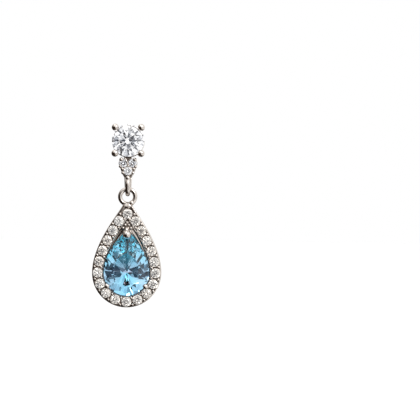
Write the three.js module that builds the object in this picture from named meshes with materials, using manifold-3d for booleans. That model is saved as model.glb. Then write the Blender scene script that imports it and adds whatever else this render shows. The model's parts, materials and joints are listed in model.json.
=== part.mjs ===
// A teardrop drop earring: a round stone in a four-claw stud with three small stones below it,
// and a blue pear stone in a paved teardrop frame that swings from a ring on the stud's bail.
// Millimetres, +Z up, front towards -Y. The origin is where the ear post leaves the flat back
// of the stud, which is the front of the ear lobe.
import * as THREE from "three";
import { mergeVertices } from "three/addons/utils/BufferGeometryUtils.js";
import Module from "manifold-3d";

const wasm = await Module();
wasm.setup();

// Clearances
const stoneClearance = 0.04; // between a stone and the metal cut to seat it
const hangingClearance = 0.04; // between the ring and the bail that it hangs on
const solderSink = 0.3; // how far a soldered wire runs into what it is soldered to

// Proportions of a brilliant cut, as shares of the stone's width
const tableShare = 0.57;
const crownShare = 0.148;
const pavilionShare = 0.431;
const girdleShare = 0.026;
const starSlopeShare = 0.6; // slope of the facets round the table, against the crown's main facets
const upperHalfSlopeShare = 1.3;
const lowerHalfSlopeShare = 1.05;
const girdleScallop = 0.1; // height of the girdle's thin places, as a share of the girdle
const roundMainFacets = 8; // main facets round the crown of a round stone

// Stud: the round stone and its claws
const studStoneDiameter = 5;
const seatDiameter = 3; // flat disc behind the stone that carries the post
const seatThickness = 0.7;
const seatEdge = 0.1; // chamfer of the disc's rims
const culetGap = 0.3; // from the disc to the point of the stone
const clawWireDiameter = 0.72;
const clawBallDiameter = 1.1;
const clawOverlap = 0.22; // how far a claw's ball reaches over the edge of the stone
const railWireDiameter = 0.6;
const railOverhang = 0.02; // how far the rail shows outside the stone's edge
const railDrop = 0.1; // from the stone's middle down to the rail's

// Cluster: the plate of three small stones under the stud
const clusterStoneDiameter = 1.3;
const clusterDrop = 1; // from the edge of the stud's stone to the centres of the upper pair
const clusterPairGap = 0.12; // between the two upper stones
const clusterRowShare = 0.93; // height from the pair to the lower stone, in stone widths
const clusterRim = 0.07; // metal round each small stone
const clusterPlateThickness = 1.15;
const clusterShoulderAngle = 20; // where the plate starts to narrow, below the pair, in degrees
const clusterBeadDiameter = 0.48;
// The small claws, measured from the middle of an upper stone in stone widths
const clusterBeads = [
  { place: "between the upper stones, above", across: -0.55, up: 0.18 },
  { place: "between the upper stones, below", across: -0.55, up: -0.3 },
  { place: "outer top corner", across: 0.25, up: 0.43 },
  { place: "outer side, between upper and lower stones", across: 0.08, up: -0.63 },
  { place: "outer side of the lower stone", across: 0.04, up: -1.12 },
];
const clusterEndBallDiameter = 0.68;
const clusterEndBallRise = 0.18; // from the front of the rims out to the ball's middle
const clusterEndBallDrop = 0.15; // from the plate's end down to the ball's middle
const clusterHoleShare = 0.5; // hole behind each small stone, as a share of its width
const clusterTailLength = 0.907; // from the lower stone's centre to the plate's end

// Bail: the fixed loop under the cluster
const bailWireDiameter = 0.74;
const bailInnerWidth = 0.9; // front to back
const bailLegLength = 1.8; // from the plate's end to where the loop starts to bend
const bailStrapWidth = 1.22; // the wider strap of the bail's back leg, at its top
const bailStrapEndWidth = 1.02;
const bailStrapThickness = 0.55;

// Ring: soldered to the tip of the drop
const ringOuterDiameter = 3;
const ringWireDiameter = 0.68;
const neckTopWidth = 0.9;
const neckBottomWidth = 1.3;
const neckHeight = 0.75;

// Drop: the pear stone and its paved frame
const pearWidth = 7;
const pearLength = 10;
const pearShoulder = 0.43; // length of the flank curve's lower handle, as a share of its height
const pearTipPull = 0.37; // length of the flank curve's upper handle, as a share of its height
const pearTipAngle = 45; // half the angle of the stone's point, in degrees
const pearSideMains = [24, -20, -57]; // which way the main facets of one side face, in degrees
const bandGap = 0.08; // between the pear stone and the band round it
const bandWidth = 1.75;
const bandThickness = 1.7;
const bandSetback = 0.2; // from the ring's middle back to the band's, so that the drop hangs plumb
const bandTipRise = 3.8; // from the stone's point to the top of the band
const bandTipWidth = 1.56;
const bandShoulder = 0.42;
const bandTipPull = 0.16;
const bandTipAngle = 30;
const patchHeight = 3.6; // plain metal between the band's two arms, down from the top of the band
const pearRise = 0.25; // from the band's front to the middle of the stone's girdle
const ledgeWidth = 0.45; // the step inside the band that the pear stone rests on
const ledgeThickness = 0.6;
const ledgeDepth = 0.1; // from the band's front to the step
const ledgePatchHeight = 5.1; // as patchHeight, where the step closes under the stone's point

// Paved stones' seats along the band
const paveCount = 20;
const paveStoneDiameter = 1.5;
const paveTopDrop = 1.23; // from the top of the band to the first stone
const paveArmDrop = 1.7; // where the line of stones joins the middle of the band
const paveHoleShare = 0.45;
const paveSeatDepthShare = 0.5;

// Claws that hold the pear stone
const topClawDiameter = 1.3;
const topClawReach = 0.54; // from the stone's point to the middle of the claw's ball
const sideClawDiameter = 0.86;
const sideClawAngle = 35; // below the level of the stone's widest place, in degrees
const sideClawReach = 0.1; // from the stone's edge outwards to the middle of the claw's ball
const pearClawWireDiameter = 0.6;

// Post
const postDiameter = 0.9;
const postLength = 10.6; // from the lobe's front to the tip
const postSocketDepth = 0.35;
const postEndGap = 0.03;
const postGrooveDepth = 0.07;
const postGrooveWidth = 0.5;
const postGrooveFromTip = 1.7;
const postTipChamfer = 0.15;

// Facet counts of the round forms
const wireSides = 10;
const ballSides = 14;
const beadSides = 8;
const postSides = 20;
const clawSteps = 10;
const bailSteps = 18;
const bailArcPoints = 9;
const pearClawSteps = 6;
const ringSides = 32;
const roundStoneSides = 48;
const smallStoneSides = 24;
const outlineSteps = 26;
const paveSeatSides = 10;

// Points nearer to each other than this are one point
const weldDistance = 1e-5;

// Places worked out from the sizes above
const studRadius = studStoneDiameter / 2;
const studGirdleY = -(seatThickness + culetGap + studStoneDiameter * (pavilionShare + girdleShare / 2));
const clawSpread = studRadius + clawBallDiameter / 2 - clawOverlap;
const clawBallY = studGirdleY - clawBallDiameter / 2;
const railRadius = studRadius + railOverhang - railWireDiameter / 2;
const railY = (studGirdleY - seatThickness) / 2 - railWireDiameter;
const pairZ = -(studRadius + clusterDrop);
const pairX = (clusterStoneDiameter + clusterPairGap) / 2;
const lowerStoneZ = pairZ - clusterStoneDiameter * clusterRowShare;
const clusterEndZ = lowerStoneZ - clusterTailLength;
const clusterFrontY = railY - railWireDiameter / 2;
const clusterBackY = clusterFrontY + clusterPlateThickness;
const clusterGirdleY = clusterFrontY;
const swingY = (clusterFrontY + clusterBackY) / 2;
const bailArcRadius = (bailInnerWidth + bailWireDiameter) / 2;
const ringRadius = (ringOuterDiameter - ringWireDiameter) / 2;
const bailArcZ = clusterEndZ - bailLegLength;
const bailBottomZ = bailArcZ - bailArcRadius;
const pivotZ = bailBottomZ + (ringWireDiameter + bailWireDiameter) / 2 + hangingClearance;
const clusterStones = [
  { name: "cluster_stone_left", x: -pairX, z: pairZ },
  { name: "cluster_stone_right", x: pairX, z: pairZ },
  { name: "cluster_stone_bottom", x: 0, z: lowerStoneZ },
];

// The drop is built round its own hinge line, with these heights below it
const ringMiddleZ = -ringRadius;
const bandTopZ = ringMiddleZ - ringOuterDiameter / 2 + hangingClearance;
const bandRadius = pearWidth / 2 + bandGap + bandWidth;
const pearTipZ = bandTopZ - bandTipRise;
const pearCentreZ = pearTipZ - (pearLength - pearWidth / 2);
const bandFrontY = bandSetback - bandThickness / 2;
const bandBackY = bandSetback + bandThickness / 2;
const pearGirdleY = bandFrontY - pearRise;
const pearShape = {
  radius: pearWidth / 2,
  height: pearLength - pearWidth / 2,
  tipHalfWidth: 0,
  shoulder: pearShoulder,
  tipPull: pearTipPull,
  tipAngle: pearTipAngle,
};
const bandShape = {
  radius: bandRadius,
  height: bandTopZ - pearCentreZ,
  tipHalfWidth: bandTipWidth / 2,
  shoulder: bandShoulder,
  tipPull: bandTipPull,
  tipAngle: bandTipAngle,
};

const silver = new THREE.MeshStandardMaterial({ color: 0xd8d3cd, metalness: 1, roughness: 0.14 });
const clearStone = new THREE.MeshStandardMaterial({ color: 0xf0f5fa, metalness: 0, roughness: 0.03 });
const blueStone = new THREE.MeshStandardMaterial({ color: 0x55b7dd, metalness: 0, roughness: 0.03 });

const radians = (degrees) => THREE.MathUtils.degToRad(degrees);

function solid(geometry) {
  geometry.deleteAttribute("normal");
  geometry.deleteAttribute("uv");
  const merged = mergeVertices(geometry, weldDistance);
  return new wasm.Manifold(
    new wasm.Mesh({
      numProp: 3,
      vertProperties: new Float32Array(merged.attributes.position.array),
      triVerts: new Uint32Array(merged.index.array),
    }),
  );
}

function joined(solids) {
  return solids.reduce((whole, piece) => whole.add(piece));
}

function cutBy(whole, cutters) {
  return cutters.reduce((rest, cutter) => rest.subtract(cutter), whole);
}

function namedMesh(name, body, material) {
  const { vertProperties, triVerts } = body.getMesh();
  const geometry = new THREE.BufferGeometry();
  geometry.setAttribute("position", new THREE.BufferAttribute(vertProperties, 3));
  geometry.setIndex(new THREE.BufferAttribute(triVerts, 1));
  geometry.computeVertexNormals();
  const mesh = new THREE.Mesh(geometry, material);
  mesh.name = name;
  return mesh;
}

function circleOutline(radius, sides, phase = 0) {
  return Array.from({ length: sides }, (_, index) => {
    const angle = phase + (2 * Math.PI * index) / sides;
    return new THREE.Vector2(radius * Math.cos(angle), radius * Math.sin(angle));
  });
}

function ball(diameter, x, y, z, sides = ballSides) {
  return solid(new THREE.SphereGeometry(diameter / 2, sides, sides / 2).translate(x, y, z));
}

// A round wire along a smooth line through the points
function wire(diameter, points, steps) {
  const section = new THREE.Shape(circleOutline(diameter / 2, wireSides));
  const extrudePath = new THREE.CatmullRomCurve3(points);
  return solid(new THREE.ExtrudeGeometry(section, { steps, bevelEnabled: false, extrudePath }));
}

// A flat plate whose outline lies in the XZ plane, between two depths
function plate(outline, holes, backY, frontY) {
  const shape = new THREE.Shape(outline);
  shape.holes = holes.map((hole) => new THREE.Path(hole));
  const depth = backY - frontY;
  const geometry = new THREE.ExtrudeGeometry(shape, { steps: 1, depth, bevelEnabled: false });
  return solid(geometry.rotateX(Math.PI / 2).translate(0, backY, 0));
}

function disc(diameter, sides, x, z, backY, frontY) {
  const middle = new THREE.Vector2(x, z);
  const outline = circleOutline(diameter / 2, sides).map((point) => point.add(middle));
  return plate(outline, [], backY, frontY);
}

// A body turned round the Y axis from a profile that starts and ends on the axis
function turned(profile, sides) {
  const points = profile.map(({ r, y }) => new THREE.Vector2(r, y));
  return solid(new THREE.LatheGeometry(points, sides));
}

function ringWire(radius, wireDiameter, y, z) {
  const geometry = new THREE.TorusGeometry(radius, wireDiameter / 2, wireSides, ringSides);
  return solid(geometry.rotateX(Math.PI / 2).translate(0, y, z));
}

// The right half of a teardrop: an arc from the bottom to the widest place, then the flank to the tip
function teardropHalf({ radius, height, tipHalfWidth, shoulder, tipPull, tipAngle }) {
  const pull = tipPull * height;
  const half = new THREE.Path();
  half.absarc(0, 0, radius, -Math.PI / 2, 0, false);
  half.bezierCurveTo(
    radius,
    shoulder * height,
    tipHalfWidth + pull * Math.sin(radians(tipAngle)),
    height - pull * Math.cos(radians(tipAngle)),
    tipHalfWidth,
    height,
  );
  return half.getSpacedPoints(outlineSteps);
}

// The same half outline, moved inwards by a distance, as far as it stays right of the middle
function inset(half, distance) {
  const moved = half.map((point, index) => {
    const before = half[Math.max(index - 1, 0)];
    const after = half[Math.min(index + 1, half.length - 1)];
    const along = new THREE.Vector2().subVectors(after, before).normalize();
    return new THREE.Vector2(point.x - along.y * distance, point.y + along.x * distance);
  });
  moved[0].x = 0;
  return moved.filter((point, index) => index === 0 || point.x > 0);
}

// Everything of a half outline below a level, closed across at that level
function belowLevel(half, level) {
  const kept = half.filter((point) => point.y < level);
  const next = half[kept.length];
  if (!next) return half;
  const last = kept[kept.length - 1];
  const share = (level - last.y) / (next.y - last.y);
  return [...kept, new THREE.Vector2().lerpVectors(last, next, share)];
}

// Both halves of a half outline, raised to its place
function wholeOutline(half, middleZ) {
  const isOnMiddle = (point) => Math.abs(point.x) < weldDistance;
  const mirrored = half
    .filter((point) => !isOnMiddle(point))
    .map((point) => new THREE.Vector2(-point.x, point.y))
    .reverse();
  return [...half, ...mirrored].map((point) => new THREE.Vector2(point.x, point.y + middleZ));
}

// A faceted stone, its table towards -Y and the middle of its girdle at the given place.
// Each facet is a plane through a line of the outline, and grow moves every plane outwards.
function facetedStone({ outline, mainAngles, width, x, y, z, grow = 0 }) {
  const crown = width * crownShare;
  const pavilion = width * pavilionShare;
  const halfGirdle = (width * girdleShare) / 2;
  const reach = (angle) =>
    Math.max(...outline.map((point) => point.x * Math.cos(angle) + point.y * Math.sin(angle)));
  const crownSlope = (angle) => crown / ((1 - tableShare) * reach(angle));
  const scale = 1 + (2 * grow) / width;
  const blank = outline.map((point) => point.clone().multiplyScalar(scale));
  let stone = plate(blank, [], pavilion + width, -(crown + halfGirdle + grow));
  const facet = (side, angle, slope, offset, height) => {
    const length = Math.hypot(slope, 1);
    const inwards = [-slope * Math.cos(angle), side, -slope * Math.sin(angle)];
    stone = stone.trimByPlane(inwards, -((height + slope * offset) / length + grow));
  };
  mainAngles.forEach((main, index) => {
    const nextMain = mainAngles[(index + 1) % mainAngles.length];
    const step = THREE.MathUtils.euclideanModulo(nextMain - main, 2 * Math.PI);
    const star = main + step / 2;
    const starOffset = tableShare * reach(star) * Math.cos(step / 2);
    facet(1, main, crownSlope(main), reach(main), halfGirdle);
    facet(1, star, starSlopeShare * crownSlope(star), starOffset, halfGirdle + crown);
    facet(-1, main, pavilion / reach(main), reach(main), halfGirdle);
    [main + step / 4, main + (3 * step) / 4].forEach((half) => {
      const thinPlace = 2 * halfGirdle * girdleScallop;
      const lowerSlope = (lowerHalfSlopeShare * pavilion) / reach(half);
      facet(1, half, upperHalfSlopeShare * crownSlope(half), reach(half), thinPlace);
      facet(-1, half, lowerSlope, reach(half), thinPlace);
    });
  });
  return stone.translate([x, y, z]);
}

function roundStone(diameter, sides, x, y, z, grow) {
  const mainAngles = Array.from(
    { length: roundMainFacets },
    (_, index) => (2 * Math.PI * index) / roundMainFacets,
  );
  const outline = circleOutline(diameter / 2, sides);
  return facetedStone({ outline, mainAngles, width: diameter, x, y, z, grow });
}

function pearStone(grow) {
  const rightMains = pearSideMains.map(radians).reverse();
  const leftMains = pearSideMains.map((angle) => Math.PI - radians(angle));
  const mainAngles = [...rightMains, Math.PI / 2, ...leftMains, (3 * Math.PI) / 2];
  const outline = wholeOutline(teardropHalf(pearShape), 0);
  const place = { x: 0, y: pearGirdleY, z: pearCentreZ };
  return facetedStone({ outline, mainAngles, width: pearWidth, ...place, grow });
}

function studStone(grow) {
  return roundStone(studStoneDiameter, roundStoneSides, 0, studGirdleY, 0, grow);
}

function clusterStone({ x, z }, grow) {
  return roundStone(clusterStoneDiameter, smallStoneSides, x, clusterGirdleY, z, grow);
}

// The disc behind the stone, with the shallow hole that the post stands in
function postSeat() {
  const rim = seatDiameter / 2;
  const whole = turned(
    [
      { r: 0, y: -seatThickness },
      { r: rim - seatEdge, y: -seatThickness },
      { r: rim, y: seatEdge - seatThickness },
      { r: rim, y: -seatEdge },
      { r: rim - seatEdge, y: 0 },
      { r: 0, y: 0 },
    ],
    ringSides,
  );
  const socketDiameter = postDiameter + 2 * postEndGap;
  return whole.subtract(disc(socketDiameter, postSides, 0, 0, seatThickness, -postSocketDepth));
}

function studClaw(sideX, sideZ) {
  const place = (radius, y) =>
    new THREE.Vector3(sideX * radius * Math.SQRT1_2, y, sideZ * radius * Math.SQRT1_2);
  const route = [
    place(seatDiameter / 2 - solderSink, -seatThickness / 2),
    place((seatDiameter / 2 + railRadius) / 2, (railY - seatThickness) / 2),
    place(clawSpread - clawWireDiameter / 3, railY),
    place(clawSpread, (studGirdleY + railY) / 2),
    place(clawSpread, clawBallY),
  ];
  const tip = route[route.length - 1];
  return wire(clawWireDiameter, route, clawSteps).add(ball(clawBallDiameter, tip.x, tip.y, tip.z));
}

function studClaws() {
  return joined([studClaw(1, 1), studClaw(-1, 1), studClaw(1, -1), studClaw(-1, -1)]);
}

function clusterPlate() {
  const rimRadius = clusterStoneDiameter / 2 + clusterRim;
  const shoulder = radians(clusterShoulderAngle);
  const half = [
    new THREE.Vector2(bailStrapWidth / 2, clusterEndZ),
    new THREE.Vector2(pairX + rimRadius * Math.cos(shoulder), pairZ - rimRadius * Math.sin(shoulder)),
    new THREE.Vector2(pairX, -railRadius),
  ];
  const web = plate(wholeOutline(half, 0), [], clusterBackY, clusterFrontY);
  const cups = clusterStones.map(({ x, z }) =>
    disc(2 * rimRadius, smallStoneSides, x, z, clusterBackY, clusterFrontY),
  );
  return joined([web, ...cups]);
}

function clusterClaws() {
  const balls = [-1, 1].flatMap((side) =>
    clusterBeads.map(({ across, up }) => {
      const x = side * (pairX + across * clusterStoneDiameter);
      const z = pairZ + up * clusterStoneDiameter;
      return ball(clusterBeadDiameter, x, clusterFrontY, z, beadSides);
    }),
  );
  return joined(balls);
}

function clusterHoles() {
  const diameter = clusterHoleShare * clusterStoneDiameter;
  const behindPlateY = clusterBackY + clusterPlateThickness;
  return clusterStones.map(({ x, z }) => disc(diameter, wireSides, x, z, behindPlateY, clusterGirdleY));
}

// The loop that the ring hangs on: down in front, round the bottom and up behind
function bail() {
  const point = (y, z) => new THREE.Vector3(0, y, z);
  const legTopZ = clusterEndZ + solderSink;
  const arc = Array.from({ length: bailArcPoints }, (_, index) => {
    const angle = (Math.PI * index) / (bailArcPoints - 1);
    return point(swingY - bailArcRadius * Math.cos(angle), bailArcZ - bailArcRadius * Math.sin(angle));
  });
  const legMiddleZ = (bailArcZ + clusterEndZ) / 2;
  const route = [
    point(clusterFrontY + bailWireDiameter / 3, legTopZ),
    point(swingY - bailArcRadius, legMiddleZ),
    ...arc,
    point(swingY + bailArcRadius, legMiddleZ),
    point(clusterBackY - bailWireDiameter / 3, legTopZ),
  ];
  return wire(bailWireDiameter, route, bailSteps);
}

function bailStrap() {
  const topZ = clusterEndZ + solderSink;
  const endZ = pivotZ;
  const outline = [
    new THREE.Vector2(-bailStrapWidth / 2, topZ),
    new THREE.Vector2(-bailStrapEndWidth / 2, endZ),
    new THREE.Vector2(bailStrapEndWidth / 2, endZ),
    new THREE.Vector2(bailStrapWidth / 2, topZ),
  ];
  const middleY = swingY + bailArcRadius;
  return plate(outline, [], middleY + bailStrapThickness / 2, middleY - bailStrapThickness / 2);
}

function studSetting() {
  const rail = ringWire(railRadius, railWireDiameter, railY, -railDrop);
  const endBallY = clusterFrontY - clusterEndBallRise;
  const endBall = ball(clusterEndBallDiameter, 0, endBallY, clusterEndZ - clusterEndBallDrop);
  const metal = joined([
    postSeat(),
    studClaws(),
    rail,
    clusterPlate(),
    clusterClaws(),
    endBall,
    bail(),
    bailStrap(),
  ]);
  const seats = clusterStones.map((stone) => clusterStone(stone, stoneClearance));
  return cutBy(metal, [studStone(stoneClearance), ...seats, ...clusterHoles()]);
}

function earPost() {
  const radius = postDiameter / 2;
  const grooveTop = postLength - postGrooveFromTip;
  return turned(
    [
      { r: 0, y: postEndGap - postSocketDepth },
      { r: radius, y: postEndGap - postSocketDepth },
      { r: radius, y: grooveTop - postGrooveWidth },
      { r: radius - postGrooveDepth, y: grooveTop - (2 * postGrooveWidth) / 3 },
      { r: radius - postGrooveDepth, y: grooveTop - postGrooveWidth / 3 },
      { r: radius, y: grooveTop },
      { r: radius, y: postLength - postTipChamfer },
      { r: radius - postTipChamfer, y: postLength },
      { r: 0, y: postLength },
    ],
    postSides,
  );
}

// Half the line that the paved stones lie on, from the top stone down the right arm to the bottom
function paveLine() {
  const middle = inset(teardropHalf(bandShape), bandWidth / 2);
  const arm = belowLevel(middle, bandShape.height - paveArmDrop);
  const top = new THREE.Vector2(0, bandShape.height - paveTopDrop);
  return new THREE.SplineCurve([...arm, top].reverse());
}

// Each seat is a cone from the band's front that runs into a hole through its back
function paveSeats() {
  const right = paveLine().getSpacedPoints(paveCount / 2);
  const left = right.slice(1, -1).map((point) => new THREE.Vector2(-point.x, point.y));
  const depth = paveStoneDiameter * paveSeatDepthShare;
  const holeRadius = (paveStoneDiameter * paveHoleShare) / 2;
  const slope = (paveStoneDiameter / 2 - holeRadius) / depth;
  const profile = [
    { r: 0, y: bandFrontY - depth },
    { r: paveStoneDiameter / 2 + slope * depth, y: bandFrontY - depth },
    { r: holeRadius, y: bandFrontY + depth },
    { r: holeRadius, y: bandBackY + depth },
    { r: 0, y: bandBackY + depth },
  ];
  return [...right, ...left].map(({ x, y }) =>
    turned(profile, paveSeatSides).translate([x, 0, y + pearCentreZ]),
  );
}

function pavedBand() {
  const outer = teardropHalf(bandShape);
  const inner = belowLevel(inset(outer, bandWidth), bandShape.height - patchHeight);
  const step = belowLevel(inset(outer, bandWidth + ledgeWidth), bandShape.height - ledgePatchHeight);
  const stepFrontY = bandFrontY + ledgeDepth;
  const outerOutline = wholeOutline(outer, pearCentreZ);
  const innerOutline = wholeOutline(inner, pearCentreZ);
  const band = plate(outerOutline, [innerOutline], bandBackY, bandFrontY);
  const stepOutline = wholeOutline(inset(outer, bandWidth - solderSink), pearCentreZ);
  const stepInnerOutline = wholeOutline(step, pearCentreZ);
  return band.add(plate(stepOutline, [stepInnerOutline], stepFrontY + ledgeThickness, stepFrontY));
}

function hangingRing() {
  const ring = ringWire(ringRadius, ringWireDiameter, 0, ringMiddleZ);
  const geometry = new THREE.CylinderGeometry(neckTopWidth / 2, neckBottomWidth / 2, neckHeight, wireSides);
  return ring.add(solid(geometry.rotateX(Math.PI / 2).translate(0, 0, bandTopZ)));
}

function pearClaw(diameter, x, z, rootX, rootZ) {
  const ballY = pearGirdleY - diameter / 2;
  const rootY = bandFrontY + bandThickness / 3;
  const route = [
    new THREE.Vector3(rootX, rootY, rootZ),
    new THREE.Vector3(rootX, (rootY + ballY) / 2, rootZ),
    new THREE.Vector3(x, ballY, z),
  ];
  return wire(pearClawWireDiameter, route, pearClawSteps).add(ball(diameter, x, ballY, z));
}

function pearClaws() {
  const topRootZ = bandTopZ - patchHeight + pearClawWireDiameter / 2;
  const top = pearClaw(topClawDiameter, 0, pearTipZ - topClawReach, 0, topRootZ);
  const sides = [-1, 1].map((side) => {
    const reach = pearWidth / 2 + sideClawReach;
    const root = pearWidth / 2 + bandGap + pearClawWireDiameter / 2;
    const across = side * Math.cos(radians(sideClawAngle));
    const down = -Math.sin(radians(sideClawAngle));
    return pearClaw(
      sideClawDiameter,
      across * reach,
      pearCentreZ + down * reach,
      across * root,
      pearCentreZ + down * root,
    );
  });
  return joined([top, ...sides]);
}

function haloFrame() {
  const metal = joined([cutBy(pavedBand(), paveSeats()), pearClaws(), hangingRing()]);
  return metal.subtract(pearStone(stoneClearance));
}

const stud = new THREE.Group();
stud.add(namedMesh("stud_setting", studSetting(), silver));
stud.add(namedMesh("round_stone", studStone(0), clearStone));
clusterStones.forEach((stone) => stud.add(namedMesh(stone.name, clusterStone(stone, 0), clearStone)));
stud.add(namedMesh("ear_post", earPost(), silver));

const drop = new THREE.Group();
drop.position.set(0, swingY, pivotZ);
drop.add(namedMesh("halo_frame", haloFrame(), silver));
drop.add(namedMesh("pear_stone", pearStone(0), blueStone));

const earring = new THREE.Group();
earring.add(stud, drop);
export default earring;
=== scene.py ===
"""Looks of a teardrop drop earring: cast silver, clear stones and a blue pear stone, in metres."""

import json
import math

import bmesh
import bpy
from mathutils import Matrix, Vector


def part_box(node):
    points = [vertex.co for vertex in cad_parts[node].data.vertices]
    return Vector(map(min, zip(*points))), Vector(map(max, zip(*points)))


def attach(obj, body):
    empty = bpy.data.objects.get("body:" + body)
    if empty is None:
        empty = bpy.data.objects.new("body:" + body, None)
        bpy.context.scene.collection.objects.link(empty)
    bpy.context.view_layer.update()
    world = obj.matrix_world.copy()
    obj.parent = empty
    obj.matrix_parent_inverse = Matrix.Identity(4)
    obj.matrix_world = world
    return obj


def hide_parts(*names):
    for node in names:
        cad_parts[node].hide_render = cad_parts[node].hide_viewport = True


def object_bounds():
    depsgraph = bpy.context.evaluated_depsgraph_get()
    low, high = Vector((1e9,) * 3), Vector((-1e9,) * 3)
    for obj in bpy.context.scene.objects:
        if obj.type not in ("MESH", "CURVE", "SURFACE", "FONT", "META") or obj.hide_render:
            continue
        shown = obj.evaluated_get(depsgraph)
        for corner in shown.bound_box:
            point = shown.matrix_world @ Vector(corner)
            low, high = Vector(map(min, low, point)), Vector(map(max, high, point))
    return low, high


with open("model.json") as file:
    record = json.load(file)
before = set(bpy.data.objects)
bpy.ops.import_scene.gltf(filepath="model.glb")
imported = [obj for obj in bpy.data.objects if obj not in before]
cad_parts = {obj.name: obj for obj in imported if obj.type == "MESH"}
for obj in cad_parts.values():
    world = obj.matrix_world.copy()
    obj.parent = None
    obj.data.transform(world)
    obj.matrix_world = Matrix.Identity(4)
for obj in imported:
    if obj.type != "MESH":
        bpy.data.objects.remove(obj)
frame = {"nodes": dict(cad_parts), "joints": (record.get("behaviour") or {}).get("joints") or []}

MM = 0.001
CAD_LOW, CAD_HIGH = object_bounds()

# Tolerances: points merged, planes cut, and lengths compared as a share
MERGE_DISTANCE = 1e-4 * MM
CUT_DISTANCE = 1e-5 * MM
LENGTH_ROUNDING = 1e-9

# Fineness of the round forms: sides around them, and steps along them
WIRE_SIDES = 24
RAIL_SIDES = 20
NECK_SIDES = 28
BALL_SIDES = 28
SEAM_SIDES = 20
DISC_SIDES = 64
HOLLOW_SIDES = 32
CUP_SIDES = 40
POST_SIDES = 40
LOOP_STEPS = 96
CLAW_STEPS = 8
LONG_CLAW_STEPS = 5
BALL_TURNS = 14
EDGE_STEPS = 4
DISC_EDGE_STEPS = 5
BAIL_ARC_STEPS = 8
BAIL_STEPS = 5
BAND_ARC_STEPS = 36
BAND_FLANK_STEPS = 48
PEAR_STEPS = 42
PAVE_SIDES = 32
BEAD_SUBDIVISIONS = 3

# Edges that turn by more than these angles stay crisp
CRISP_ANGLE = math.radians(40)
POST_CRISP_ANGLE = math.radians(50)

# The photograph's frame and the scale that the stones' standard sizes give
PHOTO_PIXELS = 420
MM_PER_PIXEL = 0.154
STUD_STONE_PIXEL = (128.2, 140.4)
LEAN = math.radians(0.75)
LENS_MM = 200
SENSOR_MM = 36
CLIP_NEAR = 10 * MM
CLIP_FAR = 20

# Times that light may cross or leave a facet before it is lost
LIGHT_BOUNCES = 24
MIRROR_BOUNCES = 16

# Cut of the round stones, as shares of their width
TABLE_SHARE = 0.57
CROWN_SHARE = 0.148
PAVILION_SHARE = 0.431
GIRDLE_SHARE = 0.026
GIRDLE_FROM_TABLE = CROWN_SHARE + GIRDLE_SHARE / 2
STAR_SLOPE = 0.6
UPPER_HALF_SLOPE = 1.3
LOWER_HALF_SLOPE = 1.05
GIRDLE_SCALLOP = 0.1
MAIN_FACETS = 8

# Places taken from the frame
STONE_LOW, STONE_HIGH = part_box("round_stone")
PEAR_LOW, PEAR_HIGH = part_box("pear_stone")
HALO_LOW, HALO_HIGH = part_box("halo_frame")
SMALL_LOW, SMALL_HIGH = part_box("cluster_stone_bottom")
PAIR_LOW, PAIR_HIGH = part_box("cluster_stone_right")
POST_LOW, POST_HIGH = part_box("ear_post")
SWING = frame["joints"][0]["pos_m"]

STUD_RADIUS = STONE_HIGH.x
STUD_GIRDLE_Y = STONE_LOW.y + 2 * STUD_RADIUS * GIRDLE_FROM_TABLE
PEAR_RADIUS = PEAR_HIGH.x
PEAR_CENTRE_Z = PEAR_LOW.z + PEAR_RADIUS
PEAR_GIRDLE_Y = PEAR_LOW.y + 2 * PEAR_RADIUS * GIRDLE_FROM_TABLE
SMALL_RADIUS = SMALL_HIGH.x
SMALL_GIRDLE_Y = SMALL_LOW.y + 2 * SMALL_RADIUS * GIRDLE_FROM_TABLE
PAIR_X = (PAIR_LOW.x + PAIR_HIGH.x) / 2
PAIR_Z = (PAIR_LOW.z + PAIR_HIGH.z) / 2
LOWER_Z = (SMALL_LOW.z + SMALL_HIGH.z) / 2

# Hollow under each round stone, and the cup that holds it
HOLLOW_SHARE = 0.98
BORE_SHARE = 0.45
HOLLOW_MARGIN = 0.3 * MM
CUP_SHARE = 0.97
CUP_FLOOR_SHARE = 0.8
CUP_RISE = 0.05 * MM
CUP_DEPTH = 0.3 * MM

# Stud
SEAT_RADIUS = 1.5 * MM
SEAT_THICKNESS = 0.7 * MM
SEAT_EDGE = 0.12 * MM
CLAW_BALL = 0.55 * MM
CLAW_WIRE = 0.36 * MM
CLAW_OVERLAP = 0.22 * MM
CLAW_ROOT_INSET = 0.3 * MM
CLAW_KNEE_INSET = CLAW_WIRE * 2 / 3
RAIL_WIRE = 0.3 * MM
RAIL_OVERHANG = 0.02 * MM
RAIL_DROP = 0.1 * MM
CLAW_SPREAD = STUD_RADIUS + CLAW_BALL - CLAW_OVERLAP
RAIL_RADIUS = STUD_RADIUS + RAIL_OVERHANG - RAIL_WIRE
RAIL_Y = (STUD_GIRDLE_Y - SEAT_THICKNESS) / 2 - 2 * RAIL_WIRE

# Cluster
CLUSTER_PLACES = [(-PAIR_X, PAIR_Z), (PAIR_X, PAIR_Z), (0, LOWER_Z)]
CLUSTER_FRONT_Y = SMALL_GIRDLE_Y
CLUSTER_THICKNESS = 1.15 * MM
CLUSTER_BACK_Y = CLUSTER_FRONT_Y + CLUSTER_THICKNESS
CLUSTER_RIM = 0.08 * MM
CLUSTER_SETBACK = 0.16 * MM
CLUSTER_EDGE = 0.12 * MM
CLUSTER_SHOULDER = math.radians(20)
CLUSTER_TOP_SHARE = 0.8
CLUSTER_TAIL = 0.907 * MM
CLUSTER_END_Z = LOWER_Z - CLUSTER_TAIL
CLUSTER_END_BALL = 0.35 * MM
CLUSTER_END_BALL_RISE = 0.18 * MM
CLUSTER_END_BALL_DROP = 0.15 * MM
CLUSTER_BEAD = 0.26 * MM
CLUSTER_BEAD_RISE = 0.02 * MM
CLUSTER_WAIST = 0.86 * MM
CLUSTER_WAIST_RISE = 0.42 * MM
CORNER_CLAW = 0.32 * MM
CORNER_CLAW_X = 1.04 * MM
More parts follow.
